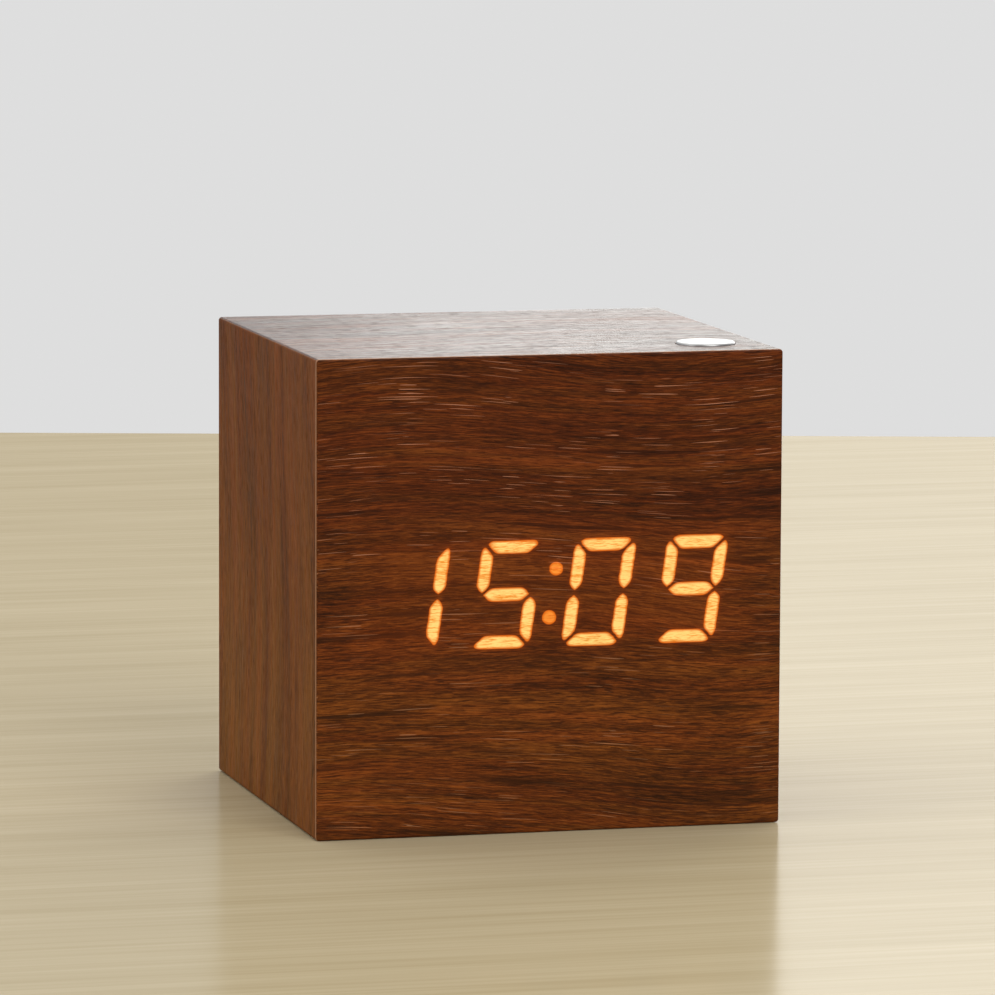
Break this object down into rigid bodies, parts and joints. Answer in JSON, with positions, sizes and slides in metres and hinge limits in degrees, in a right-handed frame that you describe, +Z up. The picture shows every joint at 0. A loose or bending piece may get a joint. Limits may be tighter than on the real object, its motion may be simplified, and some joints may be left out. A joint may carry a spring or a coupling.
{
  "type": "alarm clock",
  "caption": "Cube bedside alarm clock: amber digits shine through a walnut front, with a round metal button on top, and setting buttons, power socket and battery bay behind and below.",
  "frame": {"origin": "centre of the base, on the surface that the clock stands on", "axes": "+Z up, -Y out of the front with the digits, +X to the right of someone reading it"},
  "size_m": [0.064, 0.059, 0.0643],
  "materials": {
    "front_veneer": "thin walnut veneer, satin, that lets the digits shine through",
    "case_walnut": "walnut-grain foil over fibreboard, satin",
    "back_walnut": "walnut-grain foil over fibreboard, satin",
    "mdf": "raw fibreboard",
    "button_aluminium": "turned and satin anodised",
    "screw_steel": "zinc plated",
    "nickel_plate": "nickel plated spring steel",
    "socket_steel": "tin plated",
    "black_plastic": "fine spark-eroded texture",
    "switch_plastic": "moulded",
    "white_plastic": "smooth moulded",
    "amber_resin": "cloudy light-guide resin, lit from behind",
    "circuit_board": "green solder mask",
    "chip_resin": "moulded resin",
    "cell_jacket": "printed sleeve over steel can",
    "red_wire": "insulated wire",
    "black_wire": "insulated wire",
    "grey_wire": "grey ribbon cable"
  },
  "bodies": {
    "case": {"front_veneer": "front_veneer", "top_board": "case_walnut", "left_board": "case_walnut", "bottom_board": "case_walnut", "right_board": "case_walnut", "back_panel": "back_walnut", "front_panel": "mdf", "left_batten": "mdf", "right_batten": "mdf", "back_screw_1": "screw_steel", "back_screw_2": "screw_steel", "back_screw_3": "screw_steel", "back_screw_4": "screw_steel", "board_screw_1": "screw_steel", "board_screw_2": "screw_steel", "bracket_screw_1": "screw_steel", "bracket_screw_2": "screw_steel", "positive_contact": "nickel_plate", "negative_contact": "nickel_plate", "left_contact_link": "nickel_plate", "right_contact_link": "nickel_plate", "timing_crystal": "nickel_plate", "power_socket_shell": "socket_steel", "control_plate": "black_plastic", "battery_tray": "black_plastic", "top_switch_bracket": "black_plastic", "buzzer": "black_plastic", "top_switch_body": "switch_plastic", "set_switch_body": "switch_plastic", "up_switch_body": "switch_plastic", "down_switch_body": "switch_plastic", "display_reflector": "white_plastic", "power_socket_tongue": "white_plastic", "digit_light_guide_1": "amber_resin", "digit_light_guide_2": "amber_resin", "digit_light_guide_3": "amber_resin", "digit_light_guide_4": "amber_resin", "colon_light_guide": "amber_resin", "display_board": "circuit_board", "control_board": "circuit_board", "top_switch_board": "circuit_board", "display_driver_chip": "chip_resin", "controller_chip": "chip_resin", "battery_cell_1": "cell_jacket", "battery_cell_2": "cell_jacket", "battery_cell_3": "cell_jacket", "positive_wire": "red_wire", "negative_wire": "black_wire", "display_ribbon": "grey_wire", "top_switch_cable": "grey_wire"},
    "top_button": {"top_button": "button_aluminium", "top_button_ring": "screw_steel", "top_switch_plunger": "switch_plastic"},
    "set_button": {"set_button": "black_plastic", "set_switch_plunger": "switch_plastic"},
    "up_button": {"up_button": "black_plastic", "up_switch_plunger": "switch_plastic"},
    "down_button": {"down_button": "black_plastic", "down_switch_plunger": "switch_plastic"},
    "battery_door": {"battery_door": "black_plastic"}
  },
  "joints": [
    {"name": "top_button_press", "type": "slide", "parent": "case", "child": "top_button", "axis": [0, 0, -1], "range_m": [0, 0.0003], "stiffness_N_per_m": 3000},
    {"name": "set_button_press", "type": "slide", "parent": "case", "child": "set_button", "axis": [0, -1, 0], "range_m": [0, 0.0003], "stiffness_N_per_m": 3000},
    {"name": "up_button_press", "type": "slide", "parent": "case", "child": "up_button", "axis": [0, -1, 0], "range_m": [0, 0.0003], "stiffness_N_per_m": 3000},
    {"name": "down_button_press", "type": "slide", "parent": "case", "child": "down_button", "axis": [0, -1, 0], "range_m": [0, 0.0003], "stiffness_N_per_m": 3000},
    {"name": "battery_door_hinge", "type": "hinge", "parent": "case", "child": "battery_door", "pos_m": [0.0236, 0, 0.0012], "axis": [0, -1, 0], "range_deg": [0, 100]}
  ]
}
